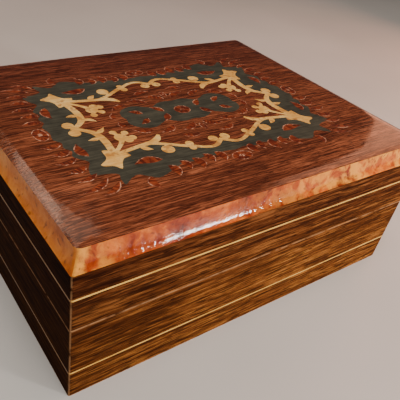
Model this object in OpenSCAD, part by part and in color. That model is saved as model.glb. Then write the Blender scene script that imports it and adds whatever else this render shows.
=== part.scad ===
// Inlaid wooden box with a hinged lid.
// Millimetres. The origin is at the centre of the underside, +X runs along the long front,
// the front faces -Y, the hinges are at the back (+Y) and +Z is up.
// Base and lid are rings of mitred walls. The lid's walls carry a burl bevel on all four
// sides and a veneered top with a marquetry panel, whose pieces lie edge to edge in one layer.

/* [Box] */
// Width of the front, over the veneer
box_w = 210; // [200:1:240]
// Depth from the front face to the back face
box_d = 161; // [155:1:190]
// Height from the underside to the flat of the top
box_h = 82; // [78:0.5:90]
// Height of the parting line between base and lid
parting_z = 42.6; // [38:0.1:48]
// Radius of the vertical corners
corner_r = 1.2; // [0.6:0.1:1.5]

/* [Walls] */
// Thickness of the wall cores
core_t = 9; // [9:0.5:11]
// Thickness of the wall veneer
veneer_t = 1; // [0.8:0.1:1.5]
// Thickness of the bottom panel
bottom_t = 5; // [4:0.5:7]
// How far the bottom panel reaches under the walls
rebate_in = 4; // [2:0.5:6]
// Arris taken off the veneer at the parting line
arris = 0.4; // [0.2:0.1:0.6]

/* [Stringing] */
// Height of the middle of the base's stringing
base_string_z = 15.9; // [12:0.1:20]
// Height of the middle of the lid's stringing
lid_string_z = 59.2; // [56:0.1:62]
// Visible width of the stringing
string_h = 0.9; // [0.7:0.1:1.6]
// Depth of the stringing in its groove
string_t = 0.7; // [0.4:0.1:0.7]

/* [Top] */
// Height of the bevel's lower edge
bevel_z = 71.5; // [68:0.1:74]
// How far the bevel leans in at its upper edge
bevel_in = 3; // [2:0.5:5]
// Depth of the hollow in the bevel's face
bevel_hollow = 0.5; // [0.2:0.1:1]
// Thickness of the top veneer and its marquetry
top_t = 1.4; // [1:0.1:2]
// How far in from the bevel the top's soft shoulder ends
shoulder_in = 3.6; // [2.5:0.1:6]
// How far the shoulder drops to the bevel
shoulder_drop = 1; // [0.5:0.1:1]

/* [Hinges] */
// Distance of the hinge pins in from the back face
pin_in = 4; // [3.5:0.1:4]
// Distance of each hinge from the middle of the box
hinge_x = 58; // [45:1:65]
// Length of a hinge
hinge_l = 30; // [28:1:36]
// Outer radius of a knuckle
knuckle_r = 2.2; // [2:0.1:2.4]
// Radius of a hinge pin
pin_r = 0.8; // [0.6:0.1:0.9]
// Thickness of a hinge leaf
leaf_t = 1; // [0.8:0.1:1.2]
// Angle of the back chamfers below and above the parting line; they stop the lid at twice this
chamfer_angle = 49; // [49:1:52]

/* [Lining] */
// Thickness of the padded floor and ceiling
pad_t = 3; // [2:0.5:5]
// Thickness of the wall linings
lining_t = 1.5; // [1:0.1:2.5]
// Bare wood left between the linings and the parting line
lining_reveal = 2.5; // [1.5:0.5:5]

/* [Marquetry] */
// Offset of the marquetry panel from the middle of the top
panel_shift = [-5.5, -3.6];

/* [Hidden] */
$fn = 48;

FACE_SIDES = ["front", "right", "back", "left"];
wall_t = core_t + veneer_t;
pin_y = box_d / 2 - pin_in;
lap = 1;                           // how far cutting shapes run past the faces they cut

// Top: the bevel moulding is as deep as its lean plus a lip under the top veneer
moulding_lip = 0.8;
moulding_in = bevel_in + moulding_lip;
board_top_z = box_h - top_t;
shoulder_r = (shoulder_in * shoulder_in + shoulder_drop * shoulder_drop) / (2 * shoulder_drop);
bevel_top_z = box_h - shoulder_drop;
bevel_chord = norm([bevel_in, bevel_top_z - bevel_z]);
bevel_r = bevel_hollow / 2 + bevel_chord * bevel_chord / (8 * bevel_hollow);

// Lining: gaps keep the padded pieces off their neighbours
lining_gap = 0.2;
lining_z = bottom_t + pad_t + lining_gap;
ceiling_z = bevel_z - pad_t;

// Hinges
knuckles = 5;
knuckle_l = hinge_l / knuckles;
knuckle_gap = 0.15;                // end play between knuckles
knuckle_room = 0.3;                // room round the knuckles in the walls
pin_fit = 0.02;                    // the pin sits tight in the base leaf
pin_play = 0.06;                   // and turns freely in the lid leaf
leaf_w = wall_t - pin_in;
screw_in = 4.2;                    // distance of the screws from the pins
screw_y = pin_y - screw_in;
screw_xs = [-10, 0, 10];
screw_head_r = 1.4;
screw_r = 0.8;
screw_l = 9;
screw_play = 0.05;
screw_sink = 0.1;                  // heads lie this far below the leaf's face
head_t = screw_head_r - screw_r;
slot_w = 0.4;
slot_deep = 0.35;

// ---- Marquetry outlines ----
// All lists hold [x, y] or [x, y, width] in one quarter of the panel, from its centre,
// and the other three quarters are its mirror images.

// The cream scroll frame's corner ornament: two outer horns and two side lobes
CORNER_LEAF = [
    [52.5, 24.4], [49.8, 27], [48.6, 29.8], [52.5, 30.6], [55, 33.4], [57.4, 37.8],
    [59, 35.4], [60.4, 34.2], [63, 33.6], [64.6, 31.8], [61, 29.4], [59.4, 26.4],
    [59, 21.8], [56, 22.6],
];
// Long-side branch, which ends in an inward leaf
LONG_BRANCH = [
    [53, 26.6, 2.6], [45, 25, 2.4], [38, 23.8, 2.6], [33.5, 23.4, 3.4], [29.5, 21.4, 3.4], [27, 18.2, 1.4],
];
// The scroll that rises from it to the middle of the long side
LONG_SCROLL = [
    [37, 23.2, 2.2], [30, 26.2, 2.2], [25.5, 28.8, 2.2], [21.5, 31.2, 2.4], [16.5, 33.6, 2.2],
    [12.5, 35.8, 2], [8.6, 36.8, 2.1], [5, 36.2, 2.3], [2.2, 34.2, 2.4], [-0.8, 32.2, 2],
];
// Short-side branch, down to the middle of the short side
SHORT_BRANCH = [
    [55, 25.4, 3.4], [53.8, 19, 3.6], [53.4, 14.5, 3.7], [53.6, 10.5, 3.7], [54.6, 6.6, 3.4],
    [57, 3.6, 2.9], [60, 1.2, 2.6], [62.8, -0.8, 2.2],
];
PALMETTE_STEM = [[54, 25.4, 2.4], [49.8, 21.6, 2], [46.8, 18.2, 2.4], [45, 14.8, 4]];
PALMETTE_HEART = [45, 14.4, 3.2];
PALMETTE_LOBES = [[39.8, 16.3, 2], [42.6, 17.6, 2.2], [41.2, 11.2, 1.8], [46.4, 9.2, 1.8]];
// Balls: [x, y, radius]
FRAME_BALLS = [[3.6, 31, 2.6], [18, 34.4, 1.8], [17.4, 30.5, 2.1], [30, 31.4, 3.2], [63, 3.7, 2.9]];
BALL_STEM = [[28.2, 26.2, 2], [29.6, 30.2, 1.8]];
// Thorns: foot, tip, width, bend
FRAME_THORNS = [
    [[41, 24.4], [36.4, 29], 3.2, -0.6],
    [[54.2, 11], [60.2, 11.8], 2.8, 0.4],
    [[54.4, 7], [48.2, 3.2], 2.8, -0.9],
];

// Line on which the frame's branches separate the inner field from the ground round it
FIELD_LINE = [
    [0, 32.6], [2.2, 34.2], [5, 36.2], [8.6, 36.8], [12.5, 35.8], [16.5, 33.6], [21.5, 31.2],
    [25.5, 28.8], [30, 26.2], [35, 23.8], [45, 25], [54.6, 25.4], [53.8, 19], [53.4, 14.5],
    [53.6, 10.5], [54.6, 6.6], [57, 3.6], [60, 1.2], [61.2, 0],
];
// Outer edge of the dark ground
GROUND_EDGE = [
    [0, 43.4], [6, 42.4], [12, 43.8], [18, 42.8], [24, 44.4], [30, 43.8], [36, 45.8], [41, 48],
    [46.5, 49.4], [50.5, 46.4], [54, 44], [58, 45.6], [62, 48.4], [62, 44], [61, 40.8],
    [65, 38.8], [71.6, 37.4], [70.4, 32], [68, 28], [70.6, 24.6], [72.6, 21.4], [71, 17.4],
    [73.2, 13.8], [72.2, 9.6], [74.6, 6], [73.6, 0],
];
// Central medallion's dark ground
MEDALLION_EDGE = [
    [0, 10.4], [5, 11.2], [10, 10], [14, 7.4], [18, 8.8], [23, 11.4], [28, 11], [32.6, 8.2],
    [34.4, 3.6], [33.6, 0],
];

// Red-brown leaves: foot, tip, width, bend. Each has a pale edge along the side it bends to.
LEAVES = [
    // along the long sides
    [[11, 41.4], [10.2, 49.6], 5, 1.5],
    [[17.6, 41], [15.8, 48.4], 4.2, 1.4],
    [[24.2, 41.8], [23.4, 50.8], 5, 1.6],
    [[31, 41.8], [29.4, 49.2], 4.2, 1.4],
    [[37.8, 43], [37.4, 51.6], 5, 1.6],
    // cartouches in the ground, near the corners
    [[37.4, 37.8], [51, 36.8], 5.4, -1.6],
    [[66, 23.6], [66.8, 12.6], 4.8, 1.5],
    // sprays at the corners
    [[49.8, 47.6], [49.4, 55.6], 4.2, -1.5],
    [[63.4, 45.6], [74, 51.6], 3, 1.6],
    [[66.6, 41.4], [80.4, 47.4], 3.2, 1.8],
    [[69.2, 36.8], [79, 39.6], 3, 1.2],
    // along the short sides
    [[70.8, 29.8], [79.8, 32], 4, 1.5],
    [[71.6, 23], [82, 24.4], 3.6, 1.5],
    [[71.8, 16.2], [80.2, 17.6], 4, 1.4],
    [[72.6, 9.8], [82.4, 10.6], 3.6, 1.4],
    // round the medallion
    [[2.4, 13.8], [12.2, 18.4], 3.8, 1.6],
    [[14, 12.8], [24, 16.8], 3.6, 1.5],
    [[26.2, 14], [36.2, 10], 3.4, 1.3],
    [[37.4, 7.6], [38.8, 0.8], 3, 0.8],
    [[16, 22.4], [5.4, 24.4], 3.2, -1.2],
    // on the medallion
    [[10.6, 1.2], [15.6, 7.6], 3.8, 0.8],
    [[22.8, 2.4], [28.8, 6.6], 3.6, 0.8],
];
// Oval cartouches on the panel's two axes: [x, y, half width, half height]
OVALS = [[0, 48.6, 5.8, 3.6], [78, 0, 3.6, 5.6], [0, 0, 4.6, 4.2], [0, 18.6, 1.9, 3]];
edge_w = 0.5;                      // width of a pale edge
seed = 0.3;                        // an oval's pale heart, as a share of the oval

// ---- Curves ----

function clamped(list, i) = list[max(0, min(len(list) - 1, i))];

function spline(a, b, c, d, t) =
    0.5 * (2 * b + (c - a) * t + (2 * a - 5 * b + 4 * c - d) * t * t + (3 * b - a - 3 * c + d) * t * t * t);

// Smooth line through all the points, from the first to the last
function open_curve(p, steps) = [
    for (i = [0 : len(p) - 2], s = [0 : steps - 1])
        spline(clamped(p, i - 1), p[i], p[i + 1], clamped(p, i + 2), s / steps),
    p[len(p) - 1],
];

// Smooth closed line through all the points
function closed_curve(p, steps) = let (n = len(p)) [
    for (i = [0 : n - 1], s = [0 : steps - 1])
        spline(p[(i + n - 1) % n], p[i], p[(i + 1) % n], p[(i + 2) % n], s / steps),
];

function backwards(p) = [for (i = [len(p) - 1 : -1 : 0]) p[i]];

// A quarter from the y axis to the x axis, mirrored into a full closed outline
function four_quarters(q) = let (n = len(q) - 1) concat(
    q,
    [for (i = [n - 1 : -1 : 0]) [q[i][0], -q[i][1]]],
    [for (i = [1 : n]) [-q[i][0], -q[i][1]]],
    [for (i = [n - 1 : -1 : 1]) [-q[i][0], q[i][1]]]
);

// Outline of a brush stroke along [x, y, width] points
function stroke_outline(c) = let (
    n = len(c),
    half = [
        for (i = [0 : n - 1])
            let (along = clamped(c, i + 1) - clamped(c, i - 1))
                [-along[1], along[0]] / norm([along[0], along[1]]) * c[i][2] / 2,
    ],
    middle = [for (p = c) [p[0], p[1]]]
) concat(
    [for (i = [0 : n - 1]) middle[i] + half[i]],
    backwards([for (i = [0 : n - 1]) middle[i] - half[i]])
);

// The [x, y, width] points down a leaf's middle; it is pointed at both ends and fullest past its foot
function leaf_middle(leaf) = let (
    along = leaf[1] - leaf[0],
    bow = [-along[1], along[0]] / norm(along) * leaf[3],
    point_w = 0.3
) [
    for (t = [0 : 1 / 8 : 1])
        let (p = leaf[0] + along * t + bow * sin(180 * t))
            [p[0], p[1], max(point_w, leaf[2] * sin(180 * pow(t, 0.8)))],
];

// A line along a leaf: its outer side (1), its inner side (-1) or the inside of its pale edge (0)
function leaf_line(leaf, place) = let (
    c = leaf_middle(leaf),
    side = leaf[3] < 0 ? -1 : 1
) [
    for (i = [0 : len(c) - 1])
        let (
            along = clamped(c, i + 1) - clamped(c, i - 1),
            out = [-along[1], along[0]] / norm([along[0], along[1]]) * side,
            half = c[i][2] / 2
        )
            [c[i][0], c[i][1]] + out * (place == 0 ? max(half - edge_w, 0) : place * half),
];

module stroke(points, steps = 3) {
    polygon(stroke_outline(open_curve(points, steps)));
}

module quarters() {
    for (x = [0, 1], y = [0, 1])
        mirror([x, 0])
            mirror([0, y])
                children();
}

module oval(o) {
    polygon([for (a = [0 : 20 : 340]) [o[0] + o[2] * cos(a), o[1] + o[3] * sin(a)]]);
}

// ---- Placing and cutting ----

function is_long(side) = side == "front" || side == "back";
function run_length(side) = is_long(side) ? box_w : box_d;

// Children are drawn as for the front, with the outer face on y = 0, and put on a side of the box
module on_side(side) {
    rotate(90 * search([side], FACE_SIDES)[0])
        translate([0, -(is_long(side) ? box_d : box_w) / 2, 0])
            children();
}

// A mitred length of the child profile, whose x is the depth from the face and y the height
module mitred_run(side) {
    run = run_length(side);
    intersection() {
        on_side(side)
            intersection() {
                rotate([90, 0, 90])
                    linear_extrude(run, center = true)
                        children();
                linear_extrude(box_h)
                    polygon([[-run / 2, 0], [run / 2, 0], [0, run / 2]]);
            }
        rounded_block();
    }
}

// The whole box with its rounded vertical corners
module rounded_block() {
    linear_extrude(box_h)
        union() {
            square([box_w, box_d - 2 * corner_r], center = true);
            square([box_w - 2 * corner_r, box_d], center = true);
            for (x = [-1, 1], y = [-1, 1])
                translate([x * (box_w / 2 - corner_r), y * (box_d / 2 - corner_r)])
                    circle(corner_r);
        }
}

// The V along the back, with its point on the hinge axis
module back_chamfer() {
    run_out = pin_in + lap;
    rise = run_out * tan(chamfer_angle);
    translate([0, pin_y, parting_z])
        rotate([90, 0, 90])
            linear_extrude(box_w + 2 * lap, center = true)
                polygon([[0, 0], [run_out, -rise], [run_out, rise]]);
}

module at_hinges() {
    for (x = [-hinge_x, hinge_x])
        translate([x, 0, 0])
            children();
}

module along_x(r, length) {
    rotate([0, 90, 0])
        cylinder(r = r, h = length, center = true);
}

// Room for both hinges' knuckles, leaves and screws; up is 1 in the lid's wall, -1 in the base's
module hinge_mortises(up) {
    at_hinges() {
        translate([0, pin_y, parting_z])
            along_x(knuckle_r + knuckle_room, hinge_l + 2 * knuckle_gap);
        translate([-hinge_l / 2, pin_y - leaf_w - lap, parting_z - leaf_t])
            cube([hinge_l, leaf_w + lap, 2 * leaf_t]);
        for (x = screw_xs)
            translate([x, screw_y, parting_z])
                mirror([0, 0, up < 0 ? 1 : 0])
                    cylinder(r = screw_r + screw_play, h = screw_l + lap);
    }
}

// ---- Base ----

module bottom_panel() {
    inset = wall_t - rebate_in;
    color("#6b3f22")
        translate([inset - box_w / 2, inset - box_d / 2, 0])
            cube([box_w - 2 * inset, box_d - 2 * inset, bottom_t]);
}

module base_wall(side) {
    color("#8a5a34")
        difference() {
            mitred_run(side)
                polygon([
                    [veneer_t, 0],
                    [wall_t - rebate_in, 0],
                    [wall_t - rebate_in, bottom_t],
                    [wall_t, bottom_t],
                    [wall_t, parting_z],
                    [veneer_t, parting_z],
                ]);
            back_chamfer();
            if (side == "back")
                hinge_mortises(-1);
        }
}

// Veneer with its arris at the parting line and a groove for the stringing
module base_veneer(side) {
    color("#7d431c")
        difference() {
            mitred_run(side)
                difference() {
                    polygon([
                        [0, 0],
                        [veneer_t, 0],
                        [veneer_t, parting_z],
                        [arris, parting_z],
                        [0, parting_z - arris],
                    ]);
                    string_groove(base_string_z);
                }
            back_chamfer();
        }
}

module string_groove(z) {
    translate([-lap, z - string_h / 2])
        square([lap + string_t, string_h]);
}

module stringing(side, z) {
    color("#e0b066")
        mitred_run(side)
            translate([0, z - string_h / 2])
                square([string_t, string_h]);
}

// ---- Lid ----

module lid_wall(side) {
    color("#8a5a34")
        difference() {
            mitred_run(side)
                translate([veneer_t, parting_z])
                    square([core_t, bevel_z - parting_z]);
            back_chamfer();
            if (side == "back")
                hinge_mortises(1);
        }
}

module lid_veneer(side) {
    color("#7d431c")
        difference() {
            mitred_run(side)
                difference() {
                    polygon([
                        [0, parting_z + arris],
                        [arris, parting_z],
                        [veneer_t, parting_z],
                        [veneer_t, bevel_z],
                        [0, bevel_z],
                    ]);
                    string_groove(lid_string_z);
                }
            back_chamfer();
        }
}

module lid_top_board() {
    color("#8a5a34")
        translate([moulding_in - box_w / 2, moulding_in - box_d / 2, bevel_z])
            cube([box_w - 2 * moulding_in, box_d - 2 * moulding_in, board_top_z - bevel_z]);
}

// Burl moulding: a leaning, slightly hollow face, up to the top veneer's shoulder
module bevel(side) {
    lean = atan2(bevel_in, bevel_top_z - bevel_z);
    reach = bevel_r - bevel_hollow;
    centre = [
        bevel_in / 2 - reach * cos(lean),
        (bevel_z + bevel_top_z) / 2 + reach * sin(lean),
    ];
    face_in = bevel_in * (board_top_z - bevel_z) / (bevel_top_z - bevel_z);
    color("#b5652b")
        mitred_run(side)
            difference() {
                polygon([
                    [0, bevel_z],
                    [face_in, board_top_z],
                    [moulding_in, board_top_z],
                    [moulding_in, bevel_z],
                ]);
                translate(centre)
                    circle(bevel_r, $fn = 180);
            }
}

// ---- Top veneer and marquetry ----

// A plate of the top veneer's thickness with a soft shoulder on all four sides
module top_plate() {
    intersection() {
        rotate([90, 0, 0])
            linear_extrude(box_d, center = true)
                shouldered_profile(box_w - 2 * bevel_in);
        rotate([90, 0, 90])
            linear_extrude(box_w, center = true)
                shouldered_profile(box_d - 2 * bevel_in);
    }
}

module shouldered_profile(width) {
    flat = width / 2 - shoulder_in;
    intersection() {
        translate([-width / 2, board_top_z])
            square([width, top_t]);
        union() {
            translate([-flat, board_top_z])
                square([2 * flat, top_t]);
            for (x = [-flat, flat])
                translate([x, box_h - shoulder_r])
                    circle(shoulder_r, $fn = 90);
        }
    }
}

// One layer of marquetry, as thick as the top veneer
module inlaid() {
    translate([panel_shift[0], panel_shift[1], board_top_z])
        linear_extrude(top_t)
            children();
}

module frame_shape() {
    quarters() {
        polygon(closed_curve(CORNER_LEAF, 2));
        stroke(LONG_BRANCH);
        stroke(LONG_SCROLL);
        stroke(SHORT_BRANCH);
        stroke(PALMETTE_STEM);
        stroke(BALL_STEM);
        for (b = concat(FRAME_BALLS, [PALMETTE_HEART], PALMETTE_LOBES))
            translate([b[0], b[1]])
                circle(b[2], $fn = 24);
        for (lobe = PALMETTE_LOBES)
            stroke([[PALMETTE_HEART[0], PALMETTE_HEART[1], 2.4], [lobe[0], lobe[1], 2]], 1);
        for (thorn = FRAME_THORNS)
            leaf(thorn, 1, -1);
    }
}

// The part of a leaf between two of its lines
module leaf(leaf, from, to) {
    polygon(concat(leaf_line(leaf, from), backwards(leaf_line(leaf, to))));
}

module ovals(shrink, scale_by) {
    for (o = OVALS, x = [-1, 1], y = [-1, 1])
        if ((o[0] > 0 || x > 0) && (o[1] > 0 || y > 0))
            oval([o[0] * x, o[1] * y, (o[2] - shrink) * scale_by, (o[3] - shrink) * scale_by]);
}

module leaves_shape() {
    quarters()
        for (l = LEAVES)
            leaf(l, 1, -1);
    ovals(0, 1);
}

module leaf_bodies_shape() {
    quarters()
        for (l = LEAVES)
            leaf(l, 0, -1);
    difference() {
        ovals(edge_w, 1);
        ovals(0, seed);
    }
}

module leaf_edges_shape() {
    quarters()
        for (l = LEAVES)
            leaf(l, 1, 0);
    difference() {
        ovals(0, 1);
        ovals(edge_w, 1);
    }
    ovals(0, seed);
}

module ground_shape() {
    polygon(closed_curve(four_quarters(GROUND_EDGE), 3));
}

module field_shape() {
    polygon(four_quarters(FIELD_LINE));
}

module medallion_shape() {
    polygon(closed_curve(four_quarters(MEDALLION_EDGE), 3));
}

module top_veneer() {
    color("#73381a")
        difference() {
            top_plate();
            translate([panel_shift[0], panel_shift[1], board_top_z - lap])
                linear_extrude(top_t + 2 * lap)
                    union() {
                        ground_shape();
                        leaves_shape();
                    }
        }
}

module marquetry_scroll_frame() {
    color("#e6c98f")
        inlaid()
            frame_shape();
}

module marquetry_ground() {
    color("#46483f")
        inlaid()
            difference() {
                ground_shape();
                field_shape();
                frame_shape();
                leaves_shape();
            }
}

module marquetry_inner_field() {
    color("#7a3f1c")
        inlaid()
            difference() {
                field_shape();
                frame_shape();
                medallion_shape();
                leaves_shape();
            }
}

module marquetry_medallion() {
    color("#46483f")
        inlaid()
            difference() {
                medallion_shape();
                leaves_shape();
            }
}

module marquetry_leaves() {
    color("#8c3a26")
        inlaid()
            leaf_bodies_shape();
}

module marquetry_leaf_edges() {
    color("#c98f70")
        inlaid()
            leaf_edges_shape();
}

// ---- Linings ----

module flat_lining(z) {
    inset = wall_t + lining_gap;
    color("#5a1420")
        translate([inset - box_w / 2, inset - box_d / 2, z])
            cube([box_w - 2 * inset, box_d - 2 * inset, pad_t]);
}

module wall_lining(side, from_z, to_z) {
    color("#5a1420")
        mitred_run(side)
            translate([wall_t + lining_gap, from_z])
                square([lining_t, to_z - from_z]);
}

module base_lining(side) {
    wall_lining(side, lining_z, parting_z - lining_reveal);
}

module lid_lining(side) {
    wall_lining(side, parting_z + lining_reveal, ceiling_z - lining_gap);
}

// ---- Hinges ----

function knuckle_x(i) = (i - (knuckles - 1) / 2) * knuckle_l;

// A leaf lies in the wall's edge: up is 1 for the lid's leaf, -1 for the base's.
// It carries every second knuckle, from the one numbered first.
module hinge_leaf(x, up, first, bore_r) {
    color("#b8923e")
        translate([x, pin_y, parting_z])
            difference() {
                union() {
                    translate([-hinge_l / 2, -leaf_w, up > 0 ? 0 : -leaf_t])
                        cube([hinge_l, leaf_w, leaf_t]);
                    for (i = [first : 2 : knuckles - 1])
                        translate([knuckle_x(i), 0, 0])
                            along_x(knuckle_r, knuckle_l - knuckle_gap);
                }
                for (i = [1 - first : 2 : knuckles - 1])
                    translate([knuckle_x(i), 0, 0])
                        along_x(knuckle_r + knuckle_room, knuckle_l + knuckle_gap);
                along_x(bore_r, hinge_l + lap);
                for (sx = screw_xs)
                    translate([sx, screw_y - pin_y, 0])
                        mirror([0, 0, up < 0 ? 1 : 0])
                            screw_body(screw_play);
            }
}

module hinge_pin(x) {
    color("#c9a44c")
        translate([x, pin_y, parting_z])
            along_x(pin_r, hinge_l);
}

// Countersunk head and shank, from the leaf's face upwards
module screw_body(play) {
    cylinder(r = screw_head_r + play, h = screw_sink + play);
    translate([0, 0, screw_sink])
        cylinder(r1 = screw_head_r + play, r2 = screw_r + play, h = head_t);
    cylinder(r = screw_r + play, h = screw_l + play);
}

module screws(up) {
    color("#c9a44c")
        at_hinges()
            for (x = screw_xs)
                translate([x, screw_y, parting_z])
                    mirror([0, 0, up < 0 ? 1 : 0])
                        difference() {
                            union() {
                                translate([0, 0, screw_sink])
                                    cylinder(r1 = screw_head_r, r2 = screw_r, h = head_t);
                                translate([0, 0, screw_sink])
                                    cylinder(r = screw_r, h = screw_l - screw_sink);
                            }
                            translate([-screw_head_r, -slot_w / 2, 0])
                                cube([2 * screw_head_r, slot_w, screw_sink + slot_deep]);
                        }
}

bottom_panel();
base_wall("front");  // base_front_wall
base_wall("right");  // base_right_wall
base_wall("back");  // base_back_wall
base_wall("left");  // base_left_wall
base_veneer("front");  // base_front_veneer
base_veneer("right");  // base_right_veneer
base_veneer("back");  // base_back_veneer
base_veneer("left");  // base_left_veneer
stringing("front", base_string_z);  // base_front_stringing
stringing("right", base_string_z);  // base_right_stringing
stringing("back", base_string_z);  // base_back_stringing
stringing("left", base_string_z);  // base_left_stringing
flat_lining(bottom_t);  // base_lining_floor
base_lining("front");  // base_lining_front
base_lining("right");  // base_lining_right
base_lining("back");  // base_lining_back
base_lining("left");  // base_lining_left
hinge_leaf(-hinge_x, -1, 0, pin_r + pin_fit);  // hinge_left_base_leaf
hinge_leaf(hinge_x, -1, 0, pin_r + pin_fit);  // hinge_right_base_leaf
hinge_pin(-hinge_x);  // hinge_left_pin
hinge_pin(hinge_x);  // hinge_right_pin
screws(-1);  // hinge_base_screws
lid_wall("front");  // lid_front_wall
lid_wall("right");  // lid_right_wall
lid_wall("back");  // lid_back_wall
lid_wall("left");  // lid_left_wall
lid_veneer("front");  // lid_front_veneer
lid_veneer("right");  // lid_right_veneer
lid_veneer("back");  // lid_back_veneer
lid_veneer("left");  // lid_left_veneer
stringing("front", lid_string_z);  // lid_front_stringing
stringing("right", lid_string_z);  // lid_right_stringing
stringing("back", lid_string_z);  // lid_back_stringing
stringing("left", lid_string_z);  // lid_left_stringing
lid_top_board();
bevel("front");  // bevel_front
bevel("right");  // bevel_right
bevel("back");  // bevel_back
bevel("left");  // bevel_left
top_veneer();
marquetry_scroll_frame();
marquetry_ground();
marquetry_inner_field();
marquetry_leaves();
marquetry_leaf_edges();
marquetry_medallion();
flat_lining(ceiling_z);  // lid_lining_ceiling
lid_lining("front");  // lid_lining_front
lid_lining("right");  // lid_lining_right
lid_lining("back");  // lid_lining_back
lid_lining("left");  // lid_lining_left
hinge_leaf(-hinge_x, 1, 1, pin_r + pin_play);  // hinge_left_lid_leaf
hinge_leaf(hinge_x, 1, 1, pin_r + pin_play);  // hinge_right_lid_leaf
screws(1);  // hinge_lid_screws
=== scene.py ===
"""Looks of the inlaid wooden box: lacquered veneers, burl, marquetry, brass and velvet.

The lacquered top, the burl bevels and the velvet pads are made here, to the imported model's sizes, in place
of their plain CAD pieces. The other pieces keep their CAD meshes and only get a material.
"""

import math

import bmesh
import bpy
from mathutils import Matrix, Vector


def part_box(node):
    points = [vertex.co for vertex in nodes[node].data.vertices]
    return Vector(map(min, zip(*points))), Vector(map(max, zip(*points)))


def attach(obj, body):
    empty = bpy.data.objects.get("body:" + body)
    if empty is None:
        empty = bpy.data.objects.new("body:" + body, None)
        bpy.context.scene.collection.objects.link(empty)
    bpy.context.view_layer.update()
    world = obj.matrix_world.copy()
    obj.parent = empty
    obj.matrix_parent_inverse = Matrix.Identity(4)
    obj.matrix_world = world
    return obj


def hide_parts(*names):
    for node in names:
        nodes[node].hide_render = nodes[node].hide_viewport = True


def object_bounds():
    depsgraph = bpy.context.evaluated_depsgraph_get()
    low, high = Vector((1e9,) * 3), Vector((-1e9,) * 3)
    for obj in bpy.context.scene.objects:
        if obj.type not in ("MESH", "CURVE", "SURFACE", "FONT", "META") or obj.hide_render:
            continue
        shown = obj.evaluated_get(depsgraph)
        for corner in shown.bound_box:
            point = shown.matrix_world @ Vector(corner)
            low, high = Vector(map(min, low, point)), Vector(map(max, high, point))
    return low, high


MM = 0.001

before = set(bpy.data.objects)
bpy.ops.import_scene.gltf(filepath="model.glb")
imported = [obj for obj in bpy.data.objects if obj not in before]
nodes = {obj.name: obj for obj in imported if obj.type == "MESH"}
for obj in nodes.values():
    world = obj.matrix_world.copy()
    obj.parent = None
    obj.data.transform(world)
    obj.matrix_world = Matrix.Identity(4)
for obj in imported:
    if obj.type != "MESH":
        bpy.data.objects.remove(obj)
cad_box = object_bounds()

half_w = cad_box[1].x
half_d = cad_box[1].y
parting_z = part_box("base_front_wall")[1].z
top_z = cad_box[1].z
board_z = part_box("lid_top_board")[1].z
rim_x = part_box("top_veneer")[1].x
rim_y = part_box("top_veneer")[1].y
rim_fall = top_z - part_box("bevel_front")[1].z

SIDE_ROLL = 7.5 * MM          # width of the lacquer's roll along the left and right rims
FRONT_ROLL = 2.2 * MM         # and along the front and back rims
ROLL_TAPER = 70 * MM          # how far from the left end the front roll takes to tighten
CORNER_ROUND = 2.8 * MM       # at the top of the bevels
FOOT_ROUND = 1.2 * MM         # and at their foot
BEVEL_HOLLOW = 0.55 * MM
PAD_CROWN = 0.3 * MM
PAD_RIM = 0.25                # a pad's thickness at its very edge, as a share of the CAD lining's
PAD_RISE = 0.55               # and how much more it has just inside the edge
PAD_PULL = 0.004              # how far each side pulls in between its corners, as a share of the half width
ROLL_CUTS = [step * MM for step in (0.3, 0.6, 1.0, 1.4, 1.9, 2.4, 3.0, 4.0, 5.0, 6.0, 7.5, 9.0)]
LEAF_EDGE = 0.12 * MM         # how far the hinge leaves' sharp edges are broken
COVE_STEPS = 10               # faces up a bevel, round half of each of its corners and along it
CORNER_STEPS = 5
RUN_STEPS = 24
PAD_STEPS = 28                # faces across a lining pad
SHARP_ANGLE = math.radians(35)
BEVEL_SHARP_ANGLE = math.radians(40)
SAME_POINT = 0.002 * MM       # vertices closer than this are one
ABOVE_BOARD = 0.1 * MM        # the top veneer's vertices higher than this over its board are on its face


# ---------------------------------------------------------------- camera, floor and light

CAMERA_PLACE = Vector((-160.8, -192.7, 196.7)) * MM
CAMERA_FORWARD = Vector((0.494, 0.6185, -0.6111))
CAMERA_UP = Vector((0.2561, 0.5682, 0.782))
CAMERA_LENS = 45.66
CAMERA_SHIFT = (0.104, 0.0495)
CAMERA_CLIP = 0.01

WORLD_STRENGTH = 0.03
COOL_WHITE = (0.9, 0.94, 1.0)
WARM_WHITE = (1, 0.95, 0.88)
LAMPLIGHT = (1, 0.93, 0.85)
SUNSET = (1, 0.42, 0.24)
PEACH = (1, 0.66, 0.48)

FLOOR_REACH = 4.0
FLOOR_TONES = [(0.3, (0.6, 0.585, 0.56)), (0.7, (0.66, 0.645, 0.62))]


def make_camera():
    camera = bpy.data.objects.new("camera", bpy.data.cameras.new("camera"))
    bpy.context.scene.collection.objects.link(camera)
    back = -CAMERA_FORWARD.normalized()
    right = CAMERA_UP.cross(back).normalized()
    up = back.cross(right)
    turn = Matrix((right, up, back)).transposed().to_4x4()
    camera.matrix_world = Matrix.Translation(CAMERA_PLACE) @ turn
    camera.data.lens = CAMERA_LENS
    camera.data.shift_x, camera.data.shift_y = CAMERA_SHIFT
    camera.data.clip_start = CAMERA_CLIP
    bpy.context.scene.camera = camera


def soft_light(name, place, target, size, watts, colour):
    """A rectangular softbox at place that faces target, both in metres."""
    light = bpy.data.lights.new(name, "AREA")
    light.shape = "RECTANGLE"
    light.size, light.size_y = size
    light.energy = watts
    light.color = colour
    lamp = bpy.data.objects.new(name, light)
    bpy.context.scene.collection.objects.link(lamp)
    lamp.location = place
    lamp.rotation_mode = "QUATERNION"
    lamp.rotation_quaternion = (Vector(place) - Vector(target)).to_track_quat("Z", "Y")


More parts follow.
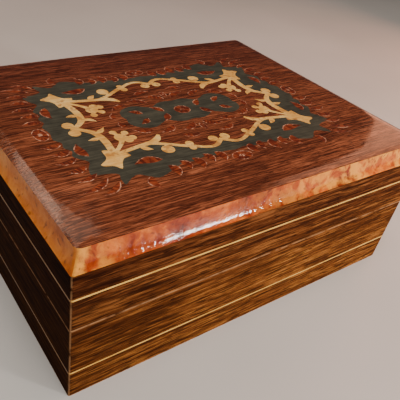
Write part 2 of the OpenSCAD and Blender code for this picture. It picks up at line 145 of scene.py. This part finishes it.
def light_scene():
    world = bpy.data.worlds.new("studio")
    world.use_nodes = True
    background = world.node_tree.nodes["Background"]
    background.inputs["Color"].default_value = (*COOL_WHITE, 1)
    background.inputs["Strength"].default_value = WORLD_STRENGTH
    bpy.context.scene.world = world
    lid_top = (0, 0, top_z)
    bevel = (-0.35 * half_w, -half_d, top_z)
    soft_light("overhead_softbox", (-0.15, -0.3, 0.95), lid_top, (0.6, 0.6), 7.5, WARM_WHITE)
    soft_light("key_softbox", (0.455, -0.8, 0.155), bevel, (0.1, 0.15), 7.5, LAMPLIGHT)
    soft_light("window", (0.62, -0.06, 0.41), (0, -0.06, 0.41), (0.6, 0.66), 3.2, SUNSET)
    soft_light("corner_card", (0.05, 0.54, 0.98), lid_top, (0.6, 0.6), 1.8, PEACH)
    soft_light("rim_card", (-0.14, 0.68, 0.7), lid_top, (0.34, 0.16), 0.5, PEACH)


def make_floor():
    mesh = bpy.data.meshes.new("floor")
    reach = FLOOR_REACH
    corners = [(-reach, -reach, 0), (reach, -reach, 0), (reach, reach, 0), (-reach, reach, 0)]
    mesh.from_pydata(corners, [], [(0, 1, 2, 3)])
    floor = bpy.data.objects.new("floor", mesh)
    bpy.context.scene.collection.objects.link(floor)
    g = Graph("floor_paint")
    tone = g.noise(g.place, 6, detail=2)
    g.set(**{"Base Color": g.ramp(tone, FLOOR_TONES), "Roughness": 0.55})
    mesh.materials.append(g.material)


# ---------------------------------------------------------------- tones, from dark to light

FRONT_TONES = [(0.05, 0.013, 0.003), (0.17, 0.052, 0.012), (0.46, 0.18, 0.04)]
# the left and right walls: the same veneer in darker tones, painted shade
SHADED_SIDE_TONES = [(0.035, 0.01, 0.002), (0.08, 0.024, 0.004), (0.15, 0.048, 0.008)]
STREAK_TONE = (0.022, 0.006, 0.002)
# the arrises' pale tone: partly rubbed finish, partly painted highlight
EDGE_WEAR_AND_HIGHLIGHT_TONE = (0.5, 0.26, 0.12)

TOP_TONES = [(0.08, 0.022, 0.011), (0.2, 0.056, 0.024), (0.42, 0.135, 0.06)]
TOP_STREAK_TONE = (0.04, 0.01, 0.006)

# Each shade is an axis, where on it the colour begins to darken, where it is darkest, and the tone it is
# multiplied by there. The walls' X shade and the top's Y shade are painted shade: the walls darker towards
# their left end, the top darker towards its back. The walls' Z shade only makes them darker towards the top.
WALL_DARKENING_AND_PAINTED_SHADE = [
    # darker towards the top of the walls
    ("Z", 0.3 * top_z, 0.8 * top_z, (0.62, 0.55, 0.7)),
    # painted shade: the walls darker towards their left end
    ("X", -0.3 * half_w, -half_w, (0.62, 0.58, 0.6)),
]
# painted shade: the top darker towards its back
TOP_PAINTED_SHADE = [("Y", -0.1 * half_d, half_d, (0.62, 0.58, 0.7))]

BURL_TONES = [
    (0.1, 0.012, 0.006),
    (0.28, 0.036, 0.01),
    (0.48, 0.085, 0.013),
    (0.72, 0.18, 0.026),
    (0.88, 0.36, 0.08),
]
GOLDEN_BURL = (0.93, 0.39, 0.055)
# the left bevel's burl: amber, and lighter than the other bevels as painted light
AMBER_AND_PAINTED_LIGHT_TONES = [(0.5, 0.11, 0.014), (0.72, 0.2, 0.026), (0.84, 0.29, 0.05), (0.92, 0.38, 0.09)]
EYE_TONE = (0.12, 0.025, 0.012)

LINE_TONES = [(0.6, 0.3, 0.05), (0.8, 0.45, 0.1), (0.88, 0.56, 0.16)]
# the stringing on the left and right walls, in darker tones: painted shade
SHADED_SIDE_LINE_TONES = [(0.3, 0.14, 0.04), (0.44, 0.22, 0.07), (0.55, 0.3, 0.1)]
CREAM_TONES = [(0.6, 0.27, 0.05), (0.86, 0.5, 0.13), (0.97, 0.74, 0.3)]
CREAM_SCORCH = (0.42, 0.14, 0.02)
GROUND_TONES = [(0.03, 0.03, 0.022), (0.055, 0.055, 0.04), (0.09, 0.088, 0.062)]
LEAF_TONES = [(0.09, 0.014, 0.006), (0.17, 0.028, 0.011), (0.3, 0.062, 0.02)]
LEAF_SCORCH = (0.05, 0.01, 0.005)
LEAF_EDGE_TONES = [(0.17, 0.04, 0.018), (0.36, 0.13, 0.07), (0.62, 0.34, 0.22)]
LEAF_EDGE_SCORCH = (0.1, 0.025, 0.012)

CORE_TONES = [(0.2, 0.09, 0.035), (0.34, 0.17, 0.07), (0.42, 0.24, 0.11)]
BOARD_TONES = [(0.16, 0.07, 0.03), (0.28, 0.14, 0.06)]
BRIGHT_BRASS = (0.74, 0.52, 0.22)
TARNISH = (0.34, 0.2, 0.07)
WINE_TONES = [(0.13, 0.006, 0.016), (0.19, 0.01, 0.025)]
WINE_SHADOW = (0.05, 0.002, 0.006)
WINE_SHEEN = (1.0, 0.35, 0.4)


# ---------------------------------------------------------------- materials

# Texture scales are features per metre, unless the place they are given is scaled already. The Mix node's
# colour sockets share their names with its number sockets, so they go by number.
MIX_COLOUR_A = 6
MIX_COLOUR_B = 7
MIX_COLOUR_RESULT = 2


class Graph:
    """One material's node tree, with short calls for the nodes that these materials share."""

    def __init__(self, name):
        self.material = bpy.data.materials.new(name)
        self.material.use_nodes = True
        self.tree = self.material.node_tree
        self.shader = self.tree.nodes["Principled BSDF"]
        self.place = self.make("ShaderNodeTexCoord").outputs["Object"]

    def make(self, kind, inputs=None, **settings):
        node = self.tree.nodes.new(kind)
        for key, value in settings.items():
            setattr(node, key, value)
        for key, value in (inputs or {}).items():
            self.put(value, node.inputs[key])
        return node

    def put(self, value, socket):
        if isinstance(value, bpy.types.NodeSocket):
            self.tree.links.new(value, socket)
            return
        if isinstance(value, tuple) and len(value) == 3 and socket.type == "RGBA":
            value = (*value, 1)
        socket.default_value = value

    def set(self, **inputs):
        for key, value in inputs.items():
            self.put(value, self.shader.inputs[key])

    def scaled(self, place, scale):
        return self.make("ShaderNodeMapping", {"Vector": place, "Scale": scale}).outputs["Vector"]

    def noise(self, place, scale, detail=3.0, roughness=0.55, output="Fac"):
        inputs = {"Vector": place, "Scale": scale, "Detail": detail, "Roughness": roughness}
        return self.make("ShaderNodeTexNoise", inputs).outputs[output]

    def cells(self, place, scale):
        return self.make("ShaderNodeTexVoronoi", {"Vector": place, "Scale": scale}).outputs["Distance"]

    def axis(self, name):
        """How far along X, Y or Z the point lies, in metres."""
        return self.make("ShaderNodeSeparateXYZ", {"Vector": self.place}).outputs[name]

    def ramp(self, factor, stops):
        """Colours at their positions from 0 to 1, blended between."""
        node = self.make("ShaderNodeValToRGB", {"Fac": factor})
        elements = node.color_ramp.elements
        while len(elements) < len(stops):
            elements.new(0.5)
        for element, (position, colour) in zip(elements, stops):
            element.position = position
            element.color = (*colour, 1)
        return node.outputs["Color"]

    def tones(self, factor, tones, low, high):
        """The tones, evenly spaced from factor low to factor high."""
        step = (high - low) / (len(tones) - 1)
        return self.ramp(factor, [(low + step * i, tone) for i, tone in enumerate(tones)])

    def between(self, value, start, end):
        """Eases from 0 at start to 1 at end, whichever of them is the larger."""
        inputs = {"Value": value, "From Min": min(start, end), "From Max": max(start, end)}
        if start > end:
            inputs.update({"To Min": 1.0, "To Max": 0.0})
        return self.make("ShaderNodeMapRange", inputs, interpolation_type="SMOOTHSTEP").outputs["Result"]

    def maths(self, operation, a, b=0.0):
        node = self.make("ShaderNodeMath", operation=operation)
        self.put(a, node.inputs[0])
        self.put(b, node.inputs[1])
        return node.outputs["Value"]

    def mix(self, factor, a, b, blend="MIX"):
        node = self.make("ShaderNodeMix", data_type="RGBA", blend_type=blend)
        self.put(factor, node.inputs["Factor"])
        self.put(a, node.inputs[MIX_COLOUR_A])
        self.put(b, node.inputs[MIX_COLOUR_B])
        return node.outputs[MIX_COLOUR_RESULT]

    def warped(self, place, scale, amount, along):
        """place, pushed sideways by a slow noise so that straight lines wander."""
        push = self.noise(self.scaled(place, scale), 1.0, detail=2, output="Color")
        centred = self.make("ShaderNodeVectorMath", operation="SUBTRACT")
        self.put(push, centred.inputs[0])
        self.put((0.5, 0.5, 0.5), centred.inputs[1])
        scaled = self.make("ShaderNodeVectorMath", operation="MULTIPLY")
        self.put(centred.outputs[0], scaled.inputs[0])
        self.put(tuple(0.0 if axis == along else amount for axis in "XYZ"), scaled.inputs[1])
        total = self.make("ShaderNodeVectorMath", operation="ADD")
        self.put(place, total.inputs[0])
        self.put(scaled.outputs[0], total.inputs[1])
        return total.outputs[0]

    def bump(self, height, depth, normal=None):
        """A normal from a height that runs from 0 to 1 over depth metres."""
        inputs = {"Height": height, "Strength": 1.0, "Distance": depth}
        if normal is not None:
            inputs["Normal"] = normal
        return self.make("ShaderNodeBump", inputs).outputs["Normal"]


def along_grain(along, run, across):
    """Scale that stretches a texture along one axis: run and across are features per metre."""
    return tuple(run if axis == along else across for axis in "XYZ")


def lacquer(g, relief, relief_depth=0.006 * MM, slow=0.03 * MM, fine=0.012 * MM, weight=1.0, gloss=0.05):
    """Hand-rubbed lacquer: slow dimples, fine orange peel and the wood's own relief showing through."""
    normal = g.bump(g.noise(g.place, 95, detail=2), slow)
    normal = g.bump(g.noise(g.place, 520, detail=2), fine, normal)
    normal = g.bump(relief, relief_depth, normal)
    g.set(**{"Coat Weight": weight, "Coat Roughness": gloss, "Coat IOR": 1.5, "Coat Normal": normal})


def veneer(name, along, tones, streak_tone, shades, fineness=1.0, edge_wear_and_highlight_tone=None, weight=1.0, gloss=0.05):
    """Straight-grained veneer.

    tones run from dark to light, and streaks are short dark dashes along the grain. Each of the shades is an
    axis, two places on it and the tone that darkens the colour from the first place to the second; some of
    them are painted shade.
    """
    g = Graph(name)
    place = g.warped(g.place, along_grain(along, 14, 45), 2.2 * MM, along)
    place = g.warped(place, along_grain(along, 75, 220), 0.9 * MM, along)
    figure = g.noise(g.scaled(place, along_grain(along, 9, 75)), 1.0, detail=4, roughness=0.6)
    lines = g.noise(g.scaled(place, along_grain(along, 30, 850)), fineness, detail=4, roughness=0.75)
    streaks = g.noise(g.scaled(place, along_grain(along, 60, 1100)), fineness, detail=2, roughness=0.5)
    pores = g.noise(g.scaled(place, along_grain(along, 110, 1900)), fineness, detail=2, roughness=0.5)
    dark = g.maths("MAXIMUM", g.maths("MULTIPLY", g.between(streaks, 0.51, 0.6), 0.7),
                   g.maths("MULTIPLY", g.between(pores, 0.55, 0.68), 0.9))
    tone = g.maths("ADD", g.maths("MULTIPLY", figure, 0.3), g.maths("MULTIPLY", lines, 0.7))
    colour = g.mix(dark, g.tones(tone, tones, 0.38, 0.62), streak_tone)
    # multiplies in the shades: painted shade at the walls' left end and the top's back, plain darkening
    # towards the top of the walls
    for axis, start, end, shade in shades:
        colour = g.mix(g.between(g.axis(axis), start, end), colour, shade, blend="MULTIPLY")
    # pale arrises: partly wear, partly painted highlight
    if edge_wear_and_highlight_tone is not None:
        colour = g.mix(worn_and_highlit_edges(g), colour, edge_wear_and_highlight_tone)
    relief = g.maths("SUBTRACT", 1.0, dark)
    lacquer(g, relief, weight=weight, gloss=gloss)
    g.set(**{
        "Base Color": colour,
        "Roughness": g.maths("ADD", g.maths("MULTIPLY", g.between(lines, 0.3, 0.7), 0.15), 0.42),
        "Specular IOR Level": 0.0,
        "Normal": g.bump(relief, 0.12 * MM),
    })
    return g.material


def worn_and_highlit_edges(g):
    """A mask of the arrises at the corners, parting line and foot: partly finish rubbed thin, partly a
    painted highlight along them.
    """
    arris_width = 0.9 * MM
    corner_x = g.between(g.maths("ABSOLUTE", g.axis("X")), half_w - arris_width, half_w - arris_width / 3)
    corner_y = g.between(g.maths("ABSOLUTE", g.axis("Y")), half_d - arris_width, half_d - arris_width / 3)
    corner = g.maths("MULTIPLY", corner_x, corner_y)
    z = g.axis("Z")
    from_parting = g.maths("ABSOLUTE", g.maths("SUBTRACT", z, parting_z))
    parting = g.between(from_parting, arris_width * 0.75, arris_width * 0.3)
    foot = g.between(z, arris_width * 0.7, arris_width * 0.2)
    arris_mask = g.maths("MAXIMUM", g.maths("MAXIMUM", corner, parting), foot)
    patches = g.between(g.noise(g.place, 160, detail=3), 0.3, 0.55)
    return g.maths("MULTIPLY", g.maths("MULTIPLY", arris_mask, patches), 0.7)


def burl(name, tones, golden_tone=None):
    """Burl veneer: swirling islands from dark to pale with small dark eyes, and golden ends if asked."""
    g = Graph(name)
    place = g.warped(g.place, (90, 90, 90), 9 * MM, "")
    place = g.warped(place, (320, 320, 320), 2.5 * MM, "")
    clouds = g.noise(place, 34, detail=3, roughness=0.55)
    swirl = g.noise(place, 130, detail=6, roughness=0.62)
    eyes = g.between(g.cells(place, 260), 0.28, 0.08)
    tone = g.maths("ADD", g.maths("MULTIPLY", clouds, 0.5), g.maths("MULTIPLY", swirl, 0.5))
    colour = g.tones(tone, tones, 0.36, 0.68)
    if golden_tone is not None:
        x = g.axis("X")
        right_end = g.between(x, -0.4 * half_w, 0.5 * half_w)
        left_end = g.between(x, -0.76 * half_w, -0.95 * half_w)
        patches = g.between(g.noise(place, 140, detail=4), 0.4, 0.62)
        golden = g.maths("MULTIPLY", patches, g.maths("MAXIMUM", right_end, left_end))
        colour = g.mix(g.maths("MULTIPLY", golden, 0.85), colour, golden_tone)
    colour = g.mix(g.maths("MULTIPLY", eyes, 0.55), colour, EYE_TONE)
    lacquer(g, swirl, 0.15 * MM, slow=0.2 * MM, fine=0.16 * MM, weight=0.6, gloss=0.03)
    g.set(**{
        "Base Color": colour,
        "Roughness": 0.42,
        "Specular IOR Level": 0.0,
        "Normal": g.bump(swirl, 0.25 * MM),
    })
    return g.material


def inlay(name, tones, along="X", island_shift=0.0, streak=0.5, darken_tone=None, weight=1.0):
    """Inlaid wood: fine grain, each piece's tone moved by up to half of island_shift either way.

    streak is the share of the grain against soft clouds, and darken_tone is for patches of scorching.
    """
    g = Graph(name)
    place = g.warped(g.place, along_grain(along, 30, 90), 1.5 * MM, along)
    grain = g.noise(g.scaled(place, along_grain(along, 60, 1100)), 1.0, detail=3, roughness=0.6)
    cloud = g.noise(g.place, 130, detail=3)
    island = g.make("ShaderNodeNewGeometry").outputs["Random Per Island"]
    tone = g.maths("ADD", g.maths("MULTIPLY", grain, streak), g.maths("MULTIPLY", cloud, 1 - streak))
    tone = g.maths("ADD", tone, g.maths("MULTIPLY", g.maths("SUBTRACT", island, 0.5), island_shift))
    colour = g.tones(tone, tones, 0.34, 0.66)
    if darken_tone is not None:
        scorch = g.between(g.noise(g.place, 260, detail=3), 0.53, 0.66)
        colour = g.mix(g.maths("MULTIPLY", scorch, 0.7), colour, darken_tone)
    lacquer(g, grain, weight=weight)
    g.set(**{
        "Base Color": colour,
        "Roughness": 0.4,
        "Specular IOR Level": 0.1,
        "Normal": g.bump(grain, 0.03 * MM),
    })
    return g.material


def plain_wood(name, along, tones):
    """Core boards and the bottom panel: open-grained, rubbed with a thin finish."""
    g = Graph(name)
    place = g.warped(g.place, along_grain(along, 10, 40), 3 * MM, along)
    figure = g.noise(g.scaled(place, along_grain(along, 6, 60)), 1.0, detail=3)
    lines = g.noise(g.scaled(place, along_grain(along, 30, 900)), 1.0, detail=4, roughness=0.7)
    tone = g.maths("ADD", g.maths("MULTIPLY", figure, 0.5), g.maths("MULTIPLY", lines, 0.5))
    g.set(**{
        "Base Color": g.tones(tone, tones, 0.35, 0.65),
        "Roughness": g.maths("ADD", g.maths("MULTIPLY", lines, 0.3), 0.4),
        "Normal": g.bump(lines, 0.08 * MM),
        "Coat Weight": 0.25,
        "Coat Roughness": 0.35,
    })
    return g.material


def brass(name, wear_scale):
    """Old brass: fine draw lines along the hinge, brown tarnish in patches, rubbed bright between them."""
    g = Graph(name)
    lines = g.noise(g.scaled(g.place, (300, 9000, 9000)), 1.0, detail=2)
    tarnish = g.between(g.noise(g.place, wear_scale, detail=4, roughness=0.65), 0.45, 0.7)
    colour = g.mix(tarnish, BRIGHT_BRASS, TARNISH)
    g.set(**{
        "Base Color": colour,
        "Metallic": 1.0,
        "Roughness": g.maths("ADD", g.maths("MULTIPLY", tarnish, 0.25), 0.24),
        "Normal": g.bump(lines, 0.01 * MM),
    })
    return g.material


def velvet(name):
    """Short wine-red velvet whose nap lies one way here and another there."""
    g = Graph(name)
    nap = g.noise(g.place, 24, detail=2)
    pile = g.noise(g.place, 2600, detail=2)
    brushed = g.between(nap, 0.35, 0.65)
    colour = g.mix(brushed, *WINE_TONES)
    g.set(**{
        "Base Color": g.mix(g.maths("MULTIPLY", pile, 0.5), colour, WINE_SHADOW),
        "Roughness": 0.95,
        "Specular IOR Level": 0.15,
        "Sheen Weight": 1.0,
        "Sheen Roughness": 0.35,
        "Sheen Tint": WINE_SHEEN,
        "Normal": g.bump(pile, 0.25 * MM, g.bump(nap, 0.5 * MM)),
    })
    return g.material


# ---------------------------------------------------------------- pieces


def new_piece(name, mesh, material, body):
    piece = bpy.data.objects.new(name, mesh)
    bpy.context.scene.collection.objects.link(piece)
    mesh.materials.clear()
    mesh.materials.append(material)
    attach(piece, body)
    return piece


def dress(names, material):
    for name in names:
        mesh = nodes[name].data
        mesh.materials.clear()
        mesh.materials.append(material)


def rim_drop(x, y):
    """How far the lacquered top has sunk at (x, y): a soft roll round the rim.

    The roll is wide along the left and right, and along the front and back it tightens away from the left.
    """
    taper = min(1.0, (x + rim_x) / ROLL_TAPER)
    front_roll = SIDE_ROLL + (FRONT_ROLL - SIDE_ROLL) * taper * taper * (3 - 2 * taper)
    rolls = [max(0.0, 1 - (reach - abs(along)) / roll) ** 2
             for reach, along, roll in ((rim_x, x, SIDE_ROLL), (rim_y, y, front_roll))]
    return rim_fall * (rolls[0] ** 4 + rolls[1] ** 4) ** 0.25


def rounded_corner(x, y, radius):
    """(x, y) with the last radius of each corner of the rim pressed from a square into a quarter disc."""
    a = abs(x) - (rim_x - radius)
    b = abs(y) - (rim_y - radius)
    if a <= 0 or b <= 0:
        return x, y
    press = max(a, b) / math.hypot(a, b)
    return (math.copysign(rim_x - radius + a * press, x), math.copysign(rim_y - radius + b * press, y))


def make_top(material):
    """The top veneer, its shoulder and corners softened by the lacquer."""
    bm = bmesh.new()
    bm.from_mesh(nodes["top_veneer"].data)
    bmesh.ops.remove_doubles(bm, verts=bm.verts, dist=SAME_POINT)
    for step in ROLL_CUTS:
        for normal in (Vector((1, 0, 0)), Vector((0, 1, 0))):
            reach = rim_x if normal.x else rim_y
            for sign in (-1, 1):
                geometry = bm.verts[:] + bm.edges[:] + bm.faces[:]
                bmesh.ops.bisect_plane(bm, geom=geometry, plane_no=normal,
                                       plane_co=normal * sign * (reach - step))
    for vert in bm.verts:
        x, y = rounded_corner(vert.co.x, vert.co.y, CORNER_ROUND)
        on_top = vert.co.z > board_z + ABOVE_BOARD
        vert.co = (x, y, top_z - rim_drop(x, y) if on_top else vert.co.z)
    mesh = bpy.data.meshes.new("lacquered_top")
    bm.to_mesh(mesh)
    bm.free()
    if "custom_normal" in mesh.attributes:
        mesh.attributes.remove(mesh.attributes["custom_normal"])
    mesh.shade_smooth()
    mesh.set_sharp_from_angle(angle=SHARP_ANGLE)
    piece = new_piece("lacquered_top", mesh, material, "lid")
    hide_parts("top_veneer")


def rounded_side(half_run, half_across, radius):
    """Points along the front of a rounded rectangle, from the middle of one corner to the next one's."""
    points = []
    for i in range(CORNER_STEPS + 1):
        angle = math.radians(225 + 45 * i / CORNER_STEPS)
        points.append((-half_run + radius + radius * math.cos(angle),
                       -half_across + radius + radius * math.sin(angle)))
    inner = half_run - radius
    points += [(-inner + 2 * inner * i / RUN_STEPS, -half_across) for i in range(1, RUN_STEPS)]
    return points + [(-x, y) for x, y in reversed(points[:CORNER_STEPS + 1])]


def bevel_profile(low, high):
    """Closed outline of the moulding as (inset, height): a shallow cove, then down the inside."""
    lean = half_w - rim_x
    chord = Vector((lean, high - low))
    outward = Vector((-chord.y, chord.x)).normalized()
    face = []
    for i in range(COVE_STEPS + 1):
        t = i / COVE_STEPS
        point = chord * t - outward * BEVEL_HOLLOW * math.sin(math.pi * t)
        face.append((point.x, low + point.y))
    depth = half_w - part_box("lid_top_board")[1].x
    return face + [(lean, board_z), (depth, board_z), (depth, low)]


def make_bevel(side, turn, half_run, half_across, material):
    """One burl moulding: the profile swept along its side, its corners softening as they rise."""
    low, high = (corner.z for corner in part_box("bevel_" + side))
    profile = bevel_profile(low, high)
    spin = Matrix.Rotation(turn, 3, "Z")
    bm = bmesh.new()
    rings = []
    for inset, z in profile:
        rise = (z - low) / (high - low)
        radius = FOOT_ROUND + (CORNER_ROUND - FOOT_ROUND) * rise
        ring = []
        for x, y in rounded_side(half_run - inset, half_across - inset, radius):
            place = spin @ Vector((x, y, z))
            if inset <= half_w - rim_x:
                # where two rolls meet, at a corner, the top sinks further and takes the bevel with it
                place.z -= (rim_drop(place.x, place.y) - rim_fall) * rise
            ring.append(bm.verts.new(place))
        rings.append(ring)
    count = len(rings)
    for i in range(count):
        ring, above = rings[i], rings[(i + 1) % count]
        for j in range(len(ring) - 1):
            bm.faces.new((ring[j], ring[j + 1], above[j + 1], above[j]))
    bm.faces.new([ring[0] for ring in rings])
    bm.faces.new([ring[-1] for ring in reversed(rings)])
    bmesh.ops.recalc_face_normals(bm, faces=bm.faces)
    mesh = bpy.data.meshes.new("burl_bevel_" + side)
    bm.to_mesh(mesh)
    bm.free()
    for face in mesh.polygons:
        face.use_smooth = len(face.vertices) == 4
    mesh.set_sharp_from_angle(angle=BEVEL_SHARP_ANGLE)
    piece = new_piece("burl_bevel_" + side, mesh, material, "lid")
    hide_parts("bevel_" + side)


def make_bevels(front, right, left):
    sides = [("front", 0, half_w, half_d, front), ("right", 90, half_d, half_w, right),
             ("back", 180, half_w, half_d, front), ("left", 270, half_d, half_w, left)]
    for side, degrees, half_run, half_across, material in sides:
        make_bevel(side, math.radians(degrees), half_run, half_across, material)


def make_pad(node, body, material, thin):
    """A soft panel in place of a CAD lining: crowned on both faces, its edges rounded and pulled in."""
    low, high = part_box(node)
    centre = (low + high) / 2
    half = (high - low) / 2
    wide = [axis for axis in range(3) if axis != thin]
    steps = PAD_STEPS
    bm = bmesh.new()

    def surface(sign):
        rows = []
        for i in range(steps + 1):
            row = []
            for j in range(steps + 1):
                u = math.sin(math.pi / 2 * (2 * i / steps - 1))
                v = math.sin(math.pi / 2 * (2 * j / steps - 1))
                edge = (1 - u ** 8) * (1 - v ** 8)
                swell = (1 - u * u) * (1 - v * v)
                lift = half[thin] * (PAD_RIM + PAD_RISE * edge ** 0.35) + PAD_CROWN * swell
                point = centre.copy()
                point[wide[0]] += u * half[wide[0]] * (1 - PAD_PULL * (1 - v * v))
                point[wide[1]] += v * half[wide[1]] * (1 - PAD_PULL * (1 - u * u))
                point[thin] += sign * min(lift, half[thin])
                row.append(bm.verts.new(point))
            rows.append(row)
        for i in range(steps):
            for j in range(steps):
                bm.faces.new((rows[i][j], rows[i + 1][j], rows[i + 1][j + 1], rows[i][j + 1]))
        return rows

    upper, lower = surface(1), surface(-1)
    rim = [(0, j) for j in range(steps)] + [(i, steps) for i in range(steps)]
    rim += [(steps, j) for j in range(steps, 0, -1)] + [(i, 0) for i in range(steps, 0, -1)]
    for (a, b), (c, d) in zip(rim, rim[1:] + rim[:1]):
        bm.faces.new((upper[a][b], upper[c][d], lower[c][d], lower[a][b]))
    bmesh.ops.recalc_face_normals(bm, faces=bm.faces)
    mesh = bpy.data.meshes.new("velvet_" + node)
    bm.to_mesh(mesh)
    bm.free()
    mesh.shade_smooth()
    piece = new_piece("velvet_" + node, mesh, material, body)
    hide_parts(node)


def make_linings(material):
    pads = [("base_lining_floor", "base", 2), ("lid_lining_ceiling", "lid", 2)]
    for body in ("base", "lid"):
        pads += [(f"{body}_lining_{side}", body, 1) for side in ("front", "back")]
        pads += [(f"{body}_lining_{side}", body, 0) for side in ("left", "right")]
    for node, body, thin in pads:
        make_pad(node, body, material, thin)


def soften(names, width):
    """Breaks the sharp edges of CAD pieces by a hair, without touching their meshes."""
    for name in names:
        weld = nodes[name].modifiers.new("weld", "WELD")
        weld.merge_threshold = SAME_POINT
        edge = nodes[name].modifiers.new("edge", "BEVEL")
        edge.width = width
        edge.segments = 2
        edge.limit_method = "ANGLE"
        edge.angle_limit = SHARP_ANGLE


def dress_walls():
    for along, tones, line_tones, sides in (
        ("X", FRONT_TONES, LINE_TONES, ("front", "back")),
        # the left and right walls take the darker veneer and stringing tones, painted shade
        ("Y", SHADED_SIDE_TONES, SHADED_SIDE_LINE_TONES, ("left", "right")),
    ):
        wall = veneer("walnut_" + along, along, tones, STREAK_TONE, WALL_DARKENING_AND_PAINTED_SHADE, edge_wear_and_highlight_tone=EDGE_WEAR_AND_HIGHLIGHT_TONE,
                      weight=0.06, gloss=0.35)
        core = plain_wood("core_" + along, along, CORE_TONES)
        line = inlay("boxwood_line_" + along, line_tones, along, weight=0.12)
        for side in sides:
            dress([f"base_{side}_veneer", f"lid_{side}_veneer"], wall)
            dress([f"base_{side}_wall", f"lid_{side}_wall"], core)
            dress([f"base_{side}_stringing", f"lid_{side}_stringing"], line)


def dress_top():
    make_top(veneer("mahogany_top", "X", TOP_TONES, TOP_STREAK_TONE, TOP_PAINTED_SHADE, fineness=1.3))
    field = veneer("mahogany_field", "X", TOP_TONES, TOP_STREAK_TONE, TOP_PAINTED_SHADE, fineness=1.3)
    dress(["marquetry_inner_field"], field)
    dress(["lid_top_board", "bottom_panel"], plain_wood("board", "X", BOARD_TONES))
    dress(["marquetry_scroll_frame"], inlay("sycamore", CREAM_TONES, streak=0.4, darken_tone=CREAM_SCORCH))
    dress(["marquetry_ground", "marquetry_medallion"], inlay("dyed_ground", GROUND_TONES, streak=0.6))
    dress(["marquetry_leaves"], inlay(
        "padauk_leaves", LEAF_TONES, island_shift=0.35, darken_tone=LEAF_SCORCH))
    dress(["marquetry_leaf_edges"], inlay(
        "pale_leaf_edges", LEAF_EDGE_TONES, island_shift=0.6, darken_tone=LEAF_EDGE_SCORCH))


def dress_hinges():
    parts = [name for name in nodes if name.startswith("hinge_")]
    dress([name for name in parts if "screws" not in name], brass("hinge_brass", 420))
    dress([name for name in parts if "screws" in name], brass("screw_brass", 1500))
    soften([name for name in parts if "leaf" in name], LEAF_EDGE)


make_camera()
light_scene()
make_floor()

dress_walls()
dress_top()
dress_hinges()
make_bevels(
    front=burl("red_burl", BURL_TONES, GOLDEN_BURL),
    right=burl("orange_burl", BURL_TONES),
    # the left bevel gets the lighter amber tones, partly painted light
    left=burl("amber_burl_painted_light", AMBER_AND_PAINTED_LIGHT_TONES),
)
make_linings(velvet("wine_velvet"))
